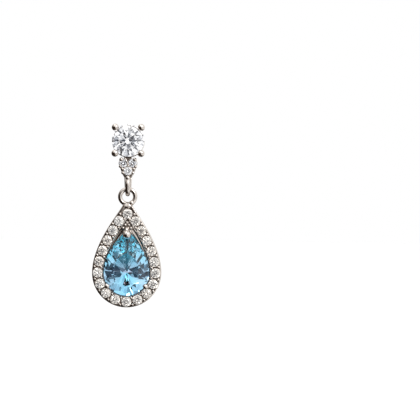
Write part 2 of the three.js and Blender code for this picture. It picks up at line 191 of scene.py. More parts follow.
CORNER_CLAW_Z = -2.95 * MM
CORNER_CLAW_RISE = 0.1 * MM
LONG_CLAW_WIRE = 0.15 * MM
LONG_CLAW_BALL = 0.19 * MM
BRIDGE_WIDTH = 1.1 * MM
BRIDGE_SETBACK = 0.6 * MM
BRIDGE_PROUD = 0.07 * MM

# Bail and ring
BAIL_WIRE = 0.37 * MM
BAIL_ARC = 0.82 * MM
BAIL_SINK = 0.1 * MM
STRAP_TOP_WIDTH = 1.22 * MM
STRAP_END_WIDTH = 1.02 * MM
STRAP_THICKNESS = 0.55 * MM
STRAP_EDGE = 0.2 * MM
STRAP_END_RISE = 0.1 * MM
STRAP_TOP_RISE = 0.3 * MM
RING_WIRE = 0.34 * MM
RING_RADIUS = 1.16 * MM
SWING_Y, SWING_Z = SWING[1], SWING[2]
BAIL_LENGTH = 1.8 * MM
BAIL_ARC_Z = CLUSTER_END_Z - BAIL_LENGTH
RING_Z = SWING_Z - RING_RADIUS
SEAM_ANGLE = math.radians(-57)
SEAM_RADIUS = 0.4 * MM
SEAM_RISE = 0.12 * MM
SEAM_FLATNESS = 0.9

# Drop
PEAR_SHOULDER = 0.43
PEAR_TIP = {"width": 0, "pull": 0.37, "angle": math.radians(45)}
GALLERY_OVERLAP = 0.4 * MM
WALL_SINK = 0.15 * MM
GALLERY_SETBACK = 0.12 * MM
GALLERY_DEPTH = 0.55 * MM
GALLERY_ROUNDING = 0.35 * MM
GALLERY_STEPS = 8
BAND_RADIUS = HALO_HIGH.x
BAND_WIDTH = 1.75 * MM
BAND_THICKNESS = 1.7 * MM
RING_SINK = 0.04 * MM
BAND_TOP_Z = RING_Z - RING_RADIUS - RING_WIRE + RING_SINK
BAND_CENTRE_Z = HALO_LOW.z + BAND_RADIUS
BAND_SHOULDER = 0.42
BAND_TIP = {"width": 0.78 * MM, "pull": 0.16, "angle": math.radians(30)}
BAND_SETBACK = 0.25 * MM
BAND_FRONT_Y = PEAR_GIRDLE_Y + BAND_SETBACK
BAND_BACK_Y = BAND_FRONT_Y + BAND_THICKNESS
PATCH_DROP = 3.6 * MM
PATCH_Z = BAND_TOP_Z - PATCH_DROP
PATCH_DEPTH = 1.3 * MM
PATCH_SETBACK = 0.03 * MM
PATCH_EDGE = 0.02 * MM
PAVE_COUNT = 20
PAVE_RADIUS = 0.75 * MM
PAVE_TOP_DROP = 1.23 * MM
PAVE_ARM_DROP = 1.7 * MM
PAVE_GIRDLE_DEPTH = 0.06 * MM
PAVE_RIM = 0.06 * MM
PAVE_BEAD = 0.22 * MM
PAVE_BEAD_SPREAD = 0.53 * MM
PAVE_TURN = math.radians(40)
PAVE_TILT = math.radians(9)
PAVE_SEED = 7
PEAR_CLAW_WIRE = 0.3 * MM
PEAR_CLAW_ROOT = 0.5 * MM
TOP_CLAW = 0.65 * MM
TOP_CLAW_RISE = 0.75 * MM
TOP_CLAW_DROP = 0.62 * MM
TOP_CLAW_ROOT_RISE = 0.08 * MM
SIDE_CLAW = 0.43 * MM
SIDE_CLAW_RISE = 0.55 * MM
SIDE_CLAW_REACH = 0.1 * MM
SIDE_CLAW_ROOT_REACH = 0.38 * MM
SIDE_CLAW_ANGLE = math.radians(35)


# Shells: each function gives the points and faces of one closed form

def circle_points(count):
    turns = (2 * math.pi * i / count for i in range(count))
    return [(math.cos(turn), math.sin(turn)) for turn in turns]


def grid_faces(rows, columns, close_rows):
    """Quads between rows of points; each row is a closed loop."""
    faces = []
    last = rows if close_rows else rows - 1
    for row in range(last):
        following = (row + 1) % rows
        for column in range(columns):
            side = (column + 1) % columns
            a, b = row * columns + column, row * columns + side
            c, d = following * columns + side, following * columns + column
            faces.append((a, b, c, d))
    return faces


def directions_along(route, closed):
    count = len(route)
    result = []
    for i in range(count):
        before = route[(i - 1) % count] if closed or i > 0 else route[0]
        after = route[(i + 1) % count] if closed or i < count - 1 else route[-1]
        result.append((after - before).normalized())
    return result


def wire(route, radii, sides=WIRE_SIDES, closed=False):
    """A round wire along the route, with a radius for each of its points."""
    tangents = directions_along(route, closed)
    across = tangents[0].orthogonal().normalized()
    ring = circle_points(sides)
    points = []
    for place, tangent, radius in zip(route, tangents, radii):
        across = (across - tangent * across.dot(tangent)).normalized()
        up = tangent.cross(across)
        points += [place + (across * c + up * s) * radius for c, s in ring]
    faces = grid_faces(len(route), sides, closed)
    if not closed:
        last = (len(route) - 1) * sides
        faces.append(tuple(reversed(range(sides))))
        faces.append(tuple(range(last, last + sides)))
    return points, faces


def smooth_route(stations, steps):
    """Points on a smooth curve through the stations."""
    ends = [stations[0] * 2 - stations[1], *stations, stations[-1] * 2 - stations[-2]]
    route = []
    for a, b, c, d in zip(ends, ends[1:], ends[2:], ends[3:]):
        for step in range(steps):
            t = step / steps
            route.append(
                (b * 2 + (c - a) * t + (a * 2 - b * 5 + c * 4 - d) * t**2
                 + (b * 3 - a - c * 3 + d) * t**3) / 2
            )
    return [*route, stations[-1]]


def turned(profile, sides, centre=Vector((0, 0, 0)), closed=False):
    """A form turned round the Y axis from (radius, depth) pairs, from axis to axis or in a closed loop."""
    ring = circle_points(sides)
    points = [Vector((radius * c, depth, radius * s)) + centre
              for radius, depth in profile for c, s in ring]
    return points, grid_faces(len(profile), sides, closed)


def ball(centre, radius, flatness=1.0, sides=BALL_SIDES):
    """A ball, flattened from front to back."""
    rows = sides // 2
    turns = [math.pi * i / rows for i in range(rows + 1)]
    profile = [(radius * math.sin(turn), -flatness * radius * math.cos(turn)) for turn in turns]
    return turned(profile, sides, centre)


def moved_in(outline, distance):
    """A closed outline in the XZ plane, moved inwards."""
    count = len(outline)
    result = []
    for i, (x, z) in enumerate(outline):
        before, after = outline[i - 1], outline[(i + 1) % count]
        along = Vector((after[0] - before[0], after[1] - before[1])).normalized()
        result.append((x - along.y * distance, z + along.x * distance))
    return result


def slab(outline, back_y, front_y, edge):
    """A flat plate with rounded edges; the outline runs anticlockwise as seen from the front."""
    turns = [math.pi / 2 * i / EDGE_STEPS for i in range(EDGE_STEPS + 1)]
    loops = [(edge * (1 - math.sin(turn)), back_y - edge * (1 - math.cos(turn))) for turn in turns]
    loops += [(edge * (1 - math.cos(turn)), front_y + edge * (1 - math.sin(turn))) for turn in turns]
    points = []
    for inwards, depth in loops:
        points += [Vector((x, depth, z)) for x, z in moved_in(outline, inwards)]
    columns = len(outline)
    faces = grid_faces(len(loops), columns, False)
    last = (len(loops) - 1) * columns
    faces.append(tuple(reversed(range(columns))))
    faces.append(tuple(range(last, last + columns)))
    return points, faces


def link(made):
    bpy.context.scene.collection.objects.link(made)
    return made


def object_from(form, name):
    """An object of the finished form."""
    mesh = bpy.data.meshes.new(name)
    form.to_mesh(mesh)
    form.free()
    return bpy.data.objects.new(name, mesh)


def from_shells(name, shells):
    """One object from closed shells, each closed at its seams and facing outwards."""
    form = bmesh.new()
    for points, faces in shells:
        corners = [form.verts.new(point) for point in points]
        own_faces = [form.faces.new([corners[i] for i in face]) for face in faces]
        bmesh.ops.remove_doubles(form, verts=corners, dist=MERGE_DISTANCE)
        own_faces = [face for face in own_faces if face.is_valid]
        bmesh.ops.recalc_face_normals(form, faces=own_faces)
    bmesh.ops.dissolve_degenerate(form, edges=form.edges, dist=MERGE_DISTANCE)
    return link(object_from(form, name))


def evaluated_mesh(made):
    bpy.context.view_layer.update()
    depsgraph = bpy.context.evaluated_depsgraph_get()
    return bpy.data.meshes.new_from_object(made.evaluated_get(depsgraph), preserve_all_data_layers=True,
                                           depsgraph=depsgraph)


def piece(name, shells, finish, crisp_angle=CRISP_ANGLE):
    """A finished piece, smooth over its rounded edges and flat on its flat faces."""
    rough = from_shells(name + "_rough", shells)
    rough.data.materials.append(finish)
    rough.data.polygons.foreach_set("use_smooth", [True] * len(rough.data.polygons))
    rough.data.set_sharp_from_angle(angle=crisp_angle)
    flats = rough.modifiers.new("flats", "WEIGHTED_NORMAL")
    flats.keep_sharp = True
    made = bpy.data.objects.new(name, evaluated_mesh(rough))
    bpy.data.objects.remove(rough)
    return link(made)


def carved(body, hollows):
    """The body's shell with the hollows cut out of it."""
    blank = from_shells("blank", [body])
    tool = from_shells("tool", hollows)
    cut = blank.modifiers.new("cut", "BOOLEAN")
    cut.operation = "DIFFERENCE"
    cut.solver = "EXACT"
    cut.object = tool
    mesh = evaluated_mesh(blank)
    bpy.data.objects.remove(blank)
    bpy.data.objects.remove(tool)
    return [corner.co.copy() for corner in mesh.vertices], [tuple(face.vertices) for face in mesh.polygons]


# Finishes

# Patterns on the surfaces: the size of their features
SHADE_SIZE = 0.9 * MM
POLISH_SIZE = 0.25 * MM
RIPPLE_SIZE = 0.6 * MM
RIPPLE_DEPTH = 0.015 * MM
RIPPLE_STRENGTH = 0.5
TINT_SIZE = 1.2 * MM
CLEAR_MARK_SIZE = 0.3 * MM
BLUE_MARK_SIZE = 0.4 * MM
GRAIN_SIZE = 2 * MM

# Silver: bright where it is open; in its recesses painted shade darkens its colour to brown, and it is
# duller there
SILVER_SHADES = [(0.3, (0.74, 0.69, 0.65)), (0.7, (0.82, 0.78, 0.75))]
SILVER_ROUGHNESS = (0.04, 0.13)
# Brown painted shade, laid on the silver where neighbouring forms hide it
RECESS_PAINTED_SHADE = (0.24, 0.18, 0.14)
RECESS_ROUGHNESS = 0.5
RECESS_REACH = 0.55 * MM
RECESS_OPENNESS = (0.25, 0.8)

# Stones: how strongly each kind bends light, and how rough the marks of its polish are
CLEAR_INDEX = 2.15
BLUE_INDEX = 1.62
MARK_ROUGHNESS = 0.03

# The blue stone's own blue from its foot to its tip, with painted reflections: pale towards the foot and a
# painted dark band across the middle
BLUE_WITH_PAINTED_REFLECTIONS = [
    (0.00, (0.96, 0.74, 1.00)),
    (0.18, (0.97, 0.80, 1.00)),
    (0.30, (0.50, 0.66, 0.88)),
    (0.44, (0.16, 0.46, 0.62)),
    (0.62, (0.12, 0.54, 0.74)),
    (1.00, (0.05, 0.62, 0.94)),
]

FLOOR_SHADES = [(0.3, (0.93, 0.93, 0.93)), (0.7, (0.96, 0.96, 0.96))]
FLOOR_ROUGHNESS = 0.9


def new_material(name):
    material = bpy.data.materials.new(name)
    material.use_nodes = True
    nodes = material.node_tree.nodes
    return material, nodes, material.node_tree.links, nodes["Principled BSDF"]


def noise(nodes, links, feature_size, detail=3.0):
    """A noise pattern on the piece itself, with features of about the given size."""
    place = nodes.new("ShaderNodeTexCoord")
    texture = nodes.new("ShaderNodeTexNoise")
    texture.inputs["Scale"].default_value = 1 / feature_size
    texture.inputs["Detail"].default_value = detail
    links.new(place.outputs["Object"], texture.inputs["Vector"])
    return texture.outputs["Fac"]


def spread(nodes, links, value, low, high, to_low, to_high):
    """The value, stretched from one span to another."""
    node = nodes.new("ShaderNodeMapRange")
    node.inputs["From Min"].default_value = low
    node.inputs["From Max"].default_value = high
    node.inputs["To Min"].default_value = to_low
    node.inputs["To Max"].default_value = to_high
    links.new(value, node.inputs["Value"])
    return node.outputs["Result"]


def ramp(nodes, links, value, stops):
    node = nodes.new("ShaderNodeValToRGB")
    while len(node.color_ramp.elements) < len(stops):
        node.color_ramp.elements.new(0.5)
    for element, (position, colour) in zip(node.color_ramp.elements, stops):
        element.position = position
        element.color = (*colour, 1)
    links.new(value, node.inputs["Fac"])
    return node.outputs["Color"]


def bump(nodes, links, height, depth, strength):
    node = nodes.new("ShaderNodeBump")
    node.inputs["Distance"].default_value = depth
    node.inputs["Strength"].default_value = strength
    links.new(height, node.inputs["Height"])
    return node.outputs["Normal"]


def blend(nodes, links, share, first, second):
    """The first colour where the share is 0 and the second where it is 1."""
    node = nodes.new("ShaderNodeMix")
    node.data_type = "RGBA"
    links.new(share, node.inputs["Factor"])
    for socket, colour in (("A", first), ("B", second)):
        if isinstance(colour, tuple):
            node.inputs[socket].default_value = (*colour, 1)
        else:
            links.new(colour, node.inputs[socket])
    return node.outputs["Result"]


def recess(nodes, links, reach):
    """0 deep between neighbouring forms and 1 on open surfaces, by ambient occlusion: it masks the painted
    shade in recesses and the duller metal there.
    """
    node = nodes.new("ShaderNodeAmbientOcclusion")
    node.inputs["Distance"].default_value = reach
    return spread(nodes, links, node.outputs["AO"], *RECESS_OPENNESS, 0, 1)


def polished_silver():
    material, nodes, links, shader = new_material("polished_silver")
    shader.inputs["Metallic"].default_value = 1.0
    bright = ramp(nodes, links, noise(nodes, links, SHADE_SIZE), SILVER_SHADES)
    open_metal = recess(nodes, links, RECESS_REACH)
    # Painted shade: the silver's colour turns brown where ambient occlusion finds it hidden between forms
    links.new(blend(nodes, links, open_metal, RECESS_PAINTED_SHADE, bright), shader.inputs["Base Color"])
    polish = noise(nodes, links, POLISH_SIZE, detail=5)
    polished = spread(nodes, links, polish, 0.3, 0.7, *SILVER_ROUGHNESS)
    unpolished = spread(nodes, links, open_metal, 0, 1, RECESS_ROUGHNESS, 0)
    rougher = nodes.new("ShaderNodeMath")
    rougher.operation = "MAXIMUM"
    links.new(polished, rougher.inputs[0])
    links.new(unpolished, rougher.inputs[1])
    links.new(rougher.outputs["Value"], shader.inputs["Roughness"])
    ripple = noise(nodes, links, RIPPLE_SIZE, detail=1)
    links.new(bump(nodes, links, ripple, RIPPLE_DEPTH, RIPPLE_STRENGTH), shader.inputs["Normal"])
    return material


def cut_stone(name, index, mark_size):
    """A see-through material with faint marks of its polish."""
    material, nodes, links, shader = new_material(name)
    shader.inputs["Transmission Weight"].default_value = 1.0
    shader.inputs["IOR"].default_value = index
    marks = noise(nodes, links, mark_size, detail=4)
    links.new(spread(nodes, links, marks, 0.4, 0.8, 0, MARK_ROUGHNESS), shader.inputs["Roughness"])
    return material, nodes, links, shader


def clear_stone(name, darker, lighter):
    material, nodes, links, shader = cut_stone(name, CLEAR_INDEX, CLEAR_MARK_SIZE)
    tint = noise(nodes, links, TINT_SIZE)
    links.new(ramp(nodes, links, tint, [(0.35, darker), (0.65, lighter)]), shader.inputs["Base Color"])
    return material


def blue_stone():
    material, nodes, links, shader = cut_stone("blue_stone", BLUE_INDEX, BLUE_MARK_SIZE)
    place = nodes.new("ShaderNodeTexCoord")
    parts = nodes.new("ShaderNodeSeparateXYZ")
    links.new(place.outputs["Object"], parts.inputs["Vector"])
    height = spread(nodes, links, parts.outputs["Z"], PEAR_LOW.z, PEAR_HIGH.z, 0, 1)
    # Painted reflections by height: pale at the foot, a painted dark band across the middle, deep blue at
    # the tip
    links.new(ramp(nodes, links, height, BLUE_WITH_PAINTED_REFLECTIONS), shader.inputs["Base Color"])
    return material


def white_floor():
    material, nodes, links, shader = new_material("white_floor")
    grain = noise(nodes, links, GRAIN_SIZE)
    links.new(ramp(nodes, links, grain, FLOOR_SHADES), shader.inputs["Base Color"])
    shader.inputs["Roughness"].default_value = FLOOR_ROUGHNESS
    return material


SILVER = polished_silver()
CLEAR = clear_stone("clear_stone", (0.93, 0.95, 0.99), (1.0, 1.0, 1.0))
PAVED = clear_stone("paved_stone", (0.86, 0.79, 0.71), (0.98, 0.96, 0.92))
BLUE = blue_stone()


# Small stones and beads, and how they are set on their seats

def brilliant(name, diameter, sides):
    """A round brilliant with its table towards -Y and the middle of its girdle at the origin."""
    crown, pavilion = diameter * CROWN_SHARE, diameter * PAVILION_SHARE
    half_girdle = diameter * GIRDLE_SHARE / 2
    radius = diameter / 2
    form = bmesh.new()
    bmesh.ops.create_cone(form, cap_ends=True, segments=sides, radius1=radius, radius2=radius,
                          depth=2 * pavilion)
    bmesh.ops.rotate(form, verts=form.verts, cent=(0, 0, 0), matrix=Matrix.Rotation(math.pi / 2, 3, "X"))

    def cut(side, angle, slope, offset, height):
        outwards = Vector((slope * math.cos(angle), -side, slope * math.sin(angle))).normalized()
        place = Vector((offset * math.cos(angle), -side * height, offset * math.sin(angle)))
        everything = form.verts[:] + form.edges[:] + form.faces[:]
        result = bmesh.ops.bisect_plane(form, geom=everything, plane_co=place, plane_no=outwards,
                                        dist=CUT_DISTANCE, clear_outer=True)
        edges = [e for e in result["geom_cut"] if isinstance(e, bmesh.types.BMEdge)]
        if edges:
            bmesh.ops.contextual_create(form, geom=edges)

    cut(1, 0, 0, 0, half_girdle + crown)
    slope = crown / ((1 - TABLE_SHARE) * radius)
    step = 2 * math.pi / MAIN_FACETS
    thin = 2 * half_girdle * GIRDLE_SCALLOP
    for i in range(MAIN_FACETS):
        main = i * step
        cut(1, main, slope, radius, half_girdle)
        cut(-1, main, pavilion / radius, radius, half_girdle)
    for i in range(MAIN_FACETS):
        star = (i + 0.5) * step
        cut(1, star, STAR_SLOPE * slope, TABLE_SHARE * radius * math.cos(step / 2), half_girdle + crown)
    for i in range(2 * MAIN_FACETS):
        half = (i + 0.5) * step / 2
        cut(1, half, UPPER_HALF_SLOPE * slope, radius, thin)
        cut(-1, half, LOWER_HALF_SLOPE * pavilion / radius, radius, thin)
    bmesh.ops.recalc_face_normals(form, faces=form.faces)
    return object_from(form, name)


def setting_tree():
    """Sets a copy of a form on each seat, turned and tilted a little, each by its own amount."""
    tree = bpy.data.node_groups.new("set_on_seats", "GeometryNodeTree")
    sockets = [
        ("Seats", "INPUT", "NodeSocketGeometry"),
        ("Form", "INPUT", "NodeSocketObject"),
        ("Turn", "INPUT", "NodeSocketFloat"),
        ("Tilt", "INPUT", "NodeSocketFloat"),
        ("Seed", "INPUT", "NodeSocketInt"),
        ("Finish", "INPUT", "NodeSocketMaterial"),
        ("Set forms", "OUTPUT", "NodeSocketGeometry"),
    ]
    for name, side, kind in sockets:
        tree.interface.new_socket(name=name, in_out=side, socket_type=kind)
    nodes, links = tree.nodes, tree.links
    given = nodes.new("NodeGroupInput")
    form = nodes.new("GeometryNodeObjectInfo")
    most = nodes.new("ShaderNodeCombineXYZ")
    least = nodes.new("ShaderNodeVectorMath")
    least.operation = "SCALE"
    least.inputs["Scale"].default_value = -1
    angles = nodes.new("FunctionNodeRandomValue")
    angles.data_type = "FLOAT_VECTOR"
    copies = nodes.new("GeometryNodeInstanceOnPoints")
    real = nodes.new("GeometryNodeRealizeInstances")
    painted = nodes.new("GeometryNodeSetMaterial")
    result = nodes.new("NodeGroupOutput")
    links.new(given.outputs["Form"], form.inputs["Object"])
    links.new(given.outputs["Tilt"], most.inputs["X"])
    links.new(given.outputs["Turn"], most.inputs["Y"])
    links.new(given.outputs["Tilt"], most.inputs["Z"])
    links.new(most.outputs["Vector"], least.inputs[0])
    links.new(least.outputs["Vector"], angles.inputs[0])
    links.new(most.outputs["Vector"], angles.inputs[1])
    links.new(given.outputs["Seed"], angles.inputs["Seed"])
    links.new(given.outputs["Seats"], copies.inputs["Points"])
    links.new(form.outputs["Geometry"], copies.inputs["Instance"])
    links.new(angles.outputs[0], copies.inputs["Rotation"])
    links.new(copies.outputs["Instances"], real.inputs["Geometry"])
    links.new(real.outputs["Geometry"], painted.inputs["Geometry"])
    links.new(given.outputs["Finish"], painted.inputs["Material"])
    links.new(painted.outputs["Geometry"], result.inputs["Set forms"])
    return tree


SETTING = setting_tree()


def set_on_seats(name, seats, form, finish, turn=0.0, tilt=0.0, seed=1):
    """A piece with a copy of the form on each seat."""
    form.data.materials.append(finish)
    mesh = bpy.data.meshes.new(name + "_seats")
    mesh.from_pydata(seats, [], [])
    holder = link(bpy.data.objects.new(name + "_seats", mesh))
    link(form)
    modifier = holder.modifiers.new("set", "NODES")
    modifier.node_group = SETTING
    given = {item.name: item.identifier for item in SETTING.interface.items_tree if item.in_out == "INPUT"}
    values = {"Form": form, "Turn": turn, "Tilt": tilt, "Seed": seed, "Finish": finish}
    for socket, value in values.items():
        modifier[given[socket]] = value
    made = bpy.data.objects.new(name, evaluated_mesh(holder))
    bpy.data.objects.remove(holder)
    bpy.data.objects.remove(form)
    return link(made)


def bead_form(radius):
    form = bmesh.new()
    bmesh.ops.create_icosphere(form, subdivisions=BEAD_SUBDIVISIONS, radius=radius)
    bead = object_from(form, "bead")
    bead.data.polygons.foreach_set("use_smooth", [True] * len(bead.data.polygons))
    return bead


# Stud

def claw_with_ball(stations, wire_radius, ball_radius, steps=CLAW_STEPS):
    """A wire that swells into a ball at its last station."""
    route = smooth_route(stations, steps)
    along = (route[-1] - route[-2]).normalized()
    neck = math.asin(wire_radius / ball_radius)
    while (stations[-1] - route[-1]).length < ball_radius * math.cos(neck):
        route.pop()
    radii = [wire_radius] * len(route)
    for i in range(BALL_TURNS + 1):
        turn = neck + (math.pi - neck) * i / BALL_TURNS
        route.append(stations[-1] - along * ball_radius * math.cos(turn))
        radii.append(max(ball_radius * math.sin(turn), 0))
    return wire(route[:-1], radii[:-1])


def stud_claw(side_x, side_z):
    diagonal = math.sqrt(0.5)

    def place(radius, depth):
        return Vector((side_x * radius * diagonal, depth, side_z * radius * diagonal))

    stations = [
        place(SEAT_RADIUS - CLAW_ROOT_INSET, -SEAT_THICKNESS / 2),
        place((SEAT_RADIUS + RAIL_RADIUS) / 2, (RAIL_Y - SEAT_THICKNESS) / 2),
        place(CLAW_SPREAD - CLAW_KNEE_INSET, RAIL_Y),
        place(CLAW_SPREAD, (STUD_GIRDLE_Y + RAIL_Y) / 2),
        place(CLAW_SPREAD, STUD_GIRDLE_Y - CLAW_BALL),
    ]
    return claw_with_ball(stations, CLAW_WIRE, CLAW_BALL)


def post_seat():
    """The flat disc that carries the post, with rounded edges."""
    turns = [math.pi / 2 * i / DISC_EDGE_STEPS for i in range(DISC_EDGE_STEPS + 1)]
    flat = SEAT_RADIUS - SEAT_EDGE
    front = [(flat + SEAT_EDGE * math.sin(turn), SEAT_EDGE * (1 - math.cos(turn)) - SEAT_THICKNESS)
             for turn in turns]
    back = [(flat + SEAT_EDGE * math.cos(turn), SEAT_EDGE * (math.sin(turn) - 1)) for turn in turns]
    return turned([(0, -SEAT_THICKNESS), *front, *back, (0, 0)], DISC_SIDES)


def rail():
    circle = circle_points(LOOP_STEPS)
    route = [Vector((RAIL_RADIUS * c, RAIL_Y, RAIL_RADIUS * s - RAIL_DROP)) for c, s in circle]
    return wire(route, [RAIL_WIRE] * LOOP_STEPS, sides=RAIL_SIDES, closed=True)


# Cluster and bail

def seat(stone_radius, x, girdle_y, back_y, z):
    """The hollow under a round stone: a cone that clears its pavilion, and a hole out to the back."""
    wide, bore = HOLLOW_SHARE * stone_radius, BORE_SHARE * stone_radius
    front, behind = girdle_y - HOLLOW_MARGIN, back_y + HOLLOW_MARGIN
    profile = [
        (0, front), (wide, front), (wide, girdle_y),
        (bore, girdle_y + stone_radius), (bore, behind), (0, behind),
    ]
    return turned(profile, HOLLOW_SIDES, Vector((x, 0, z)))


def cluster_web():
    """The shield-shaped plate that carries the three small stones."""
    rim = SMALL_RADIUS + CLUSTER_RIM
    half = [
        (STRAP_TOP_WIDTH / 2, CLUSTER_END_Z),
        (CLUSTER_WAIST, CLUSTER_END_Z + CLUSTER_WAIST_RISE),
        (PAIR_X + rim * math.cos(CLUSTER_SHOULDER), PAIR_Z - rim * math.sin(CLUSTER_SHOULDER)),
        (PAIR_X, PAIR_Z + SMALL_RADIUS * CLUSTER_TOP_SHARE),
    ]
    outline = half + [(-x, z) for x, z in reversed(half)]
    web = slab(outline, CLUSTER_BACK_Y, CLUSTER_FRONT_Y + CLUSTER_SETBACK, CLUSTER_EDGE)
    seats = [seat(SMALL_RADIUS, x, CLUSTER_FRONT_Y, CLUSTER_BACK_Y, z) for x, z in CLUSTER_PLACES]
    return carved(web, seats)


def cup(stone_radius, rim, x, girdle_y, z):
    """A round rim that holds a stone: it stands just proud of the girdle and runs down inside the metal."""
    outer, inner = stone_radius + rim, stone_radius * CUP_SHARE
    lip = rim / 2
    front, floor_y = girdle_y - CUP_RISE, girdle_y + CUP_DEPTH
    profile = [
        (outer, floor_y), (outer, front + 2 * lip), (outer - lip / 3, front + lip / 2),
        (outer - lip, front), (inner + lip / 2, front),
        (inner, front + lip), (inner * CUP_FLOOR_SHARE, floor_y),
    ]
    return turned(profile, CUP_SIDES, Vector((x, 0, z)), closed=True)


# The small claws of the cluster: on each side this far from the middle, and this far below the middle of
# the round stone, in millimetres
CLUSTER_BEADS = [
    {"across": 0.00, "down": 3.89},
    {"across": 1.16, "down": 4.00},
    {"across": 0.88, "down": 4.35},
    {"across": 0.77, "down": 4.97},
]


# The long claw that crosses from the stud's rail to between the upper stones: across, behind the stones'
# girdles, and below the middle of the round stone, in millimetres
LONG_CLAW = [
    {"across": -0.50, "behind": 0.38, "down": 2.45},
    {"across": -0.46, "behind": -0.02, "down": 2.75},
    {"across": -0.24, "behind": -0.12, "down": 3.20},
    {"across": -0.04, "behind": -0.12, "down": 3.58},
]


def long_claw():
    stations = [Vector((row["across"] * MM, CLUSTER_FRONT_Y + row["behind"] * MM, -row["down"] * MM))
                for row in LONG_CLAW]
    return claw_with_ball(stations, LONG_CLAW_WIRE, LONG_CLAW_BALL, steps=LONG_CLAW_STEPS)


def cluster_beads():
    y = CLUSTER_FRONT_Y - CLUSTER_BEAD_RISE
    seats = []
    for bead in CLUSTER_BEADS:
        for side in (1, -1) if bead["across"] else (1,):
            seats.append((side * bead["across"] * MM, y, -bead["down"] * MM))
    return set_on_seats("cluster_beads", seats, bead_form(CLUSTER_BEAD), SILVER)


def cluster_bridge():
    """The neck of metal that runs back from the cluster up to the stud's rail."""
    half = BRIDGE_WIDTH / 2
    outline = [(-half, PAIR_Z), (half, PAIR_Z), (half, -RAIL_RADIUS), (-half, -RAIL_RADIUS)]
    return slab(outline, CLUSTER_BACK_Y + BRIDGE_PROUD, CLUSTER_FRONT_Y + BRIDGE_SETBACK, CLUSTER_EDGE)


def bail_loop():
    """The wire that hangs from the cluster's end, round through the ring and back up."""
    front_y, back_y = SWING_Y - BAIL_ARC, SWING_Y + BAIL_ARC
    top_z = CLUSTER_END_Z + BAIL_SINK
    middle_z = (BAIL_ARC_Z + CLUSTER_END_Z) / 2
    turns = [math.pi * i / BAIL_ARC_STEPS for i in range(BAIL_ARC_STEPS + 1)]
    arc = [Vector((0, SWING_Y - BAIL_ARC * math.cos(turn), BAIL_ARC_Z - BAIL_ARC * math.sin(turn)))
           for turn in turns]
    stations = [
        Vector((0, CLUSTER_FRONT_Y + BAIL_WIRE, top_z)),
        Vector((0, front_y, middle_z)),
        *arc,
        Vector((0, back_y, middle_z)),
        Vector((0, CLUSTER_BACK_Y - BAIL_WIRE, top_z)),
    ]
    route = smooth_route(stations, BAIL_STEPS)
    return wire(route, [BAIL_WIRE] * len(route))


def bail_strap():
    """The flat strap along the back of the bail."""
    end_z, top_z = SWING_Z + STRAP_END_RISE, CLUSTER_END_Z + STRAP_TOP_RISE
    outline = [
        (-STRAP_END_WIDTH / 2, end_z),
        (STRAP_END_WIDTH / 2, end_z),
        (STRAP_TOP_WIDTH / 2, top_z),
        (-STRAP_TOP_WIDTH / 2, top_z),
    ]
    middle = SWING_Y + BAIL_ARC
    return slab(outline, middle + STRAP_THICKNESS / 2, middle - STRAP_THICKNESS / 2, STRAP_EDGE)


# Metal of the stud as a whole, and the post

def stud_metal():
    claws = [stud_claw(x, z) for x in (-1, 1) for z in (-1, 1)]
    cups = [cup(SMALL_RADIUS, CLUSTER_RIM, x, CLUSTER_FRONT_Y, z) for x, z in CLUSTER_PLACES]
    end_y = CLUSTER_FRONT_Y - CLUSTER_END_BALL_RISE
    end = ball(Vector((0, end_y, CLUSTER_END_Z - CLUSTER_END_BALL_DROP)), CLUSTER_END_BALL)
    corner_y = CLUSTER_FRONT_Y - CORNER_CLAW_RISE
    corners = [ball(Vector((side * CORNER_CLAW_X, corner_y, CORNER_CLAW_Z)), CORNER_CLAW)
               for side in (-1, 1)]
    return piece("stud_casting",
                 [*claws, post_seat(), rail(), cluster_web(), cluster_bridge(), long_claw(), *cups,
                  *corners, end, bail_loop(), bail_strap()], SILVER)


# The post's groove and rounded tip: distance from the tip, and depth below its full radius, in millimetres
POST_END = [
    {"from_tip": 2.20, "below": 0.00},
    {"from_tip": 2.03, "below": 0.07},
    {"from_tip": 1.87, "below": 0.07},
    {"from_tip": 1.70, "below": 0.00},
    {"from_tip": 0.15, "below": 0.00},
    {"from_tip": 0.06, "below": 0.04},
    {"from_tip": 0.00, "below": 0.15},
]


def post_metal():
    radius, tip, root = POST_HIGH.x, POST_HIGH.y, POST_LOW.y
    end = [(radius - row["below"] * MM, tip - row["from_tip"] * MM) for row in POST_END]
    profile = [(0, root), (radius, root), *end, (0, tip)]
    return piece("post_wire", [turned(profile, POST_SIDES)], SILVER, crisp_angle=POST_CRISP_ANGLE)


# Drop

def bezier(a, b, c, d, steps):
    points = []
    for i in range(steps + 1):
        t = i / steps
        points.append(a * (1 - t) ** 3 + b * 3 * (1 - t) ** 2 * t + c * 3 * (1 - t) * t**2 + d * t**3)
    return points


def teardrop(radius, height, shoulder, tip, arc_steps, flank_steps):
    """The right half of a teardrop: round its wide end from the middle, then up the flank to its tip."""
    turns = [math.pi / 2 * i / arc_steps for i in range(arc_steps)]
    arc = [Vector((radius * math.sin(turn), -radius * math.cos(turn))) for turn in turns]
    pull = tip["pull"] * height
    across, down = math.sin(tip["angle"]), math.cos(tip["angle"])
    flank = bezier(
        Vector((radius, 0)),
        Vector((radius, shoulder * height)),
        Vector((tip["width"] + pull * across, height - pull * down)),
        Vector((tip["width"], height)),
        flank_steps,
    )
    return arc + flank


def band_edge():
    height = BAND_TOP_Z - BAND_CENTRE_Z
    return teardrop(BAND_RADIUS, height, BAND_SHOULDER, BAND_TIP, BAND_ARC_STEPS, BAND_FLANK_STEPS)


def crossing(last, following):
    """Where the way from the last point to the following one meets the middle."""
    if last.x <= 0:
        return last.copy()
    share = last.x / (last.x - following.x)
    return Vector((0, last.y + (following.y - last.y) * share))


